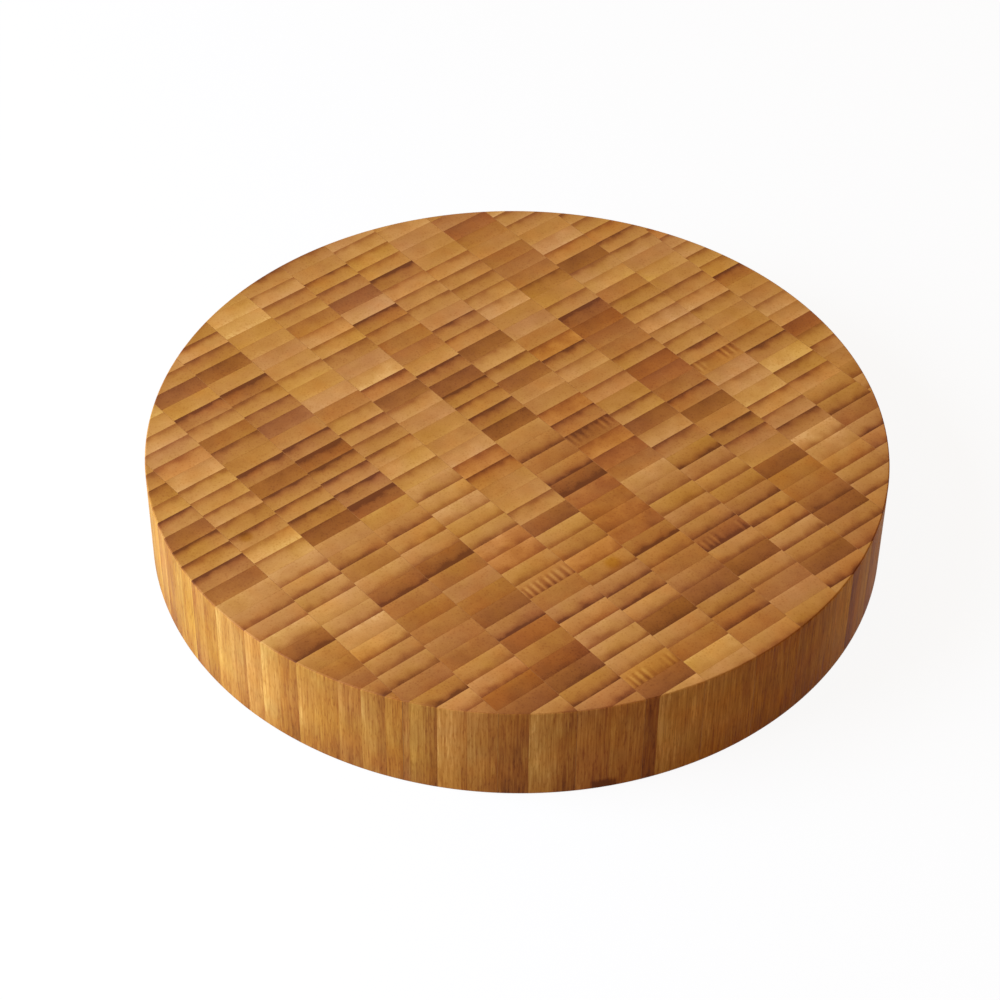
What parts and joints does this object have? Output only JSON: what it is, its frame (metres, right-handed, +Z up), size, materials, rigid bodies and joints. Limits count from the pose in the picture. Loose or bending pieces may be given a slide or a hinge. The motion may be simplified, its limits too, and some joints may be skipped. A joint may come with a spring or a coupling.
{
  "type": "round serving board",
  "caption": "Thick round end-grain bamboo board for chopping and serving, glued up from straight rows of upright strips, with plain flat faces and a straight side.",
  "frame": {"origin": "centre of the underside", "axes": "+Z up, square to the serving face; +Y along the rows of strips; +X across the rows"},
  "size_m": [0.254, 0.254, 0.038],
  "materials": {
    "bamboo_brown": "oiled end grain, darker plank",
    "bamboo_amber": "oiled end grain, middle plank",
    "bamboo_honey": "oiled end grain, lighter plank",
    "glue": "cured wood adhesive"
  },
  "bodies": {
    "root": {"strip_row_left_6": "bamboo_brown", "strip_row_left_5": "bamboo_honey", "strip_row_left_4": "bamboo_brown", "strip_row_left_3": "bamboo_brown", "strip_row_left_2": "bamboo_honey", "strip_row_left_1": "bamboo_amber", "strip_row_middle": "bamboo_brown", "strip_row_right_1": "bamboo_amber", "strip_row_right_2": "bamboo_amber", "strip_row_right_3": "bamboo_brown", "strip_row_right_4": "bamboo_honey", "strip_row_right_5": "bamboo_honey", "strip_row_right_6": "bamboo_amber", "glue_line_left_6": "glue", "glue_line_left_5": "glue", "glue_line_left_4": "glue", "glue_line_left_3": "glue", "glue_line_left_2": "glue", "glue_line_left_1": "glue", "glue_line_right_1": "glue", "glue_line_right_2": "glue", "glue_line_right_3": "glue", "glue_line_right_4": "glue", "glue_line_right_5": "glue", "glue_line_right_6": "glue"}
  },
  "joints": []
}
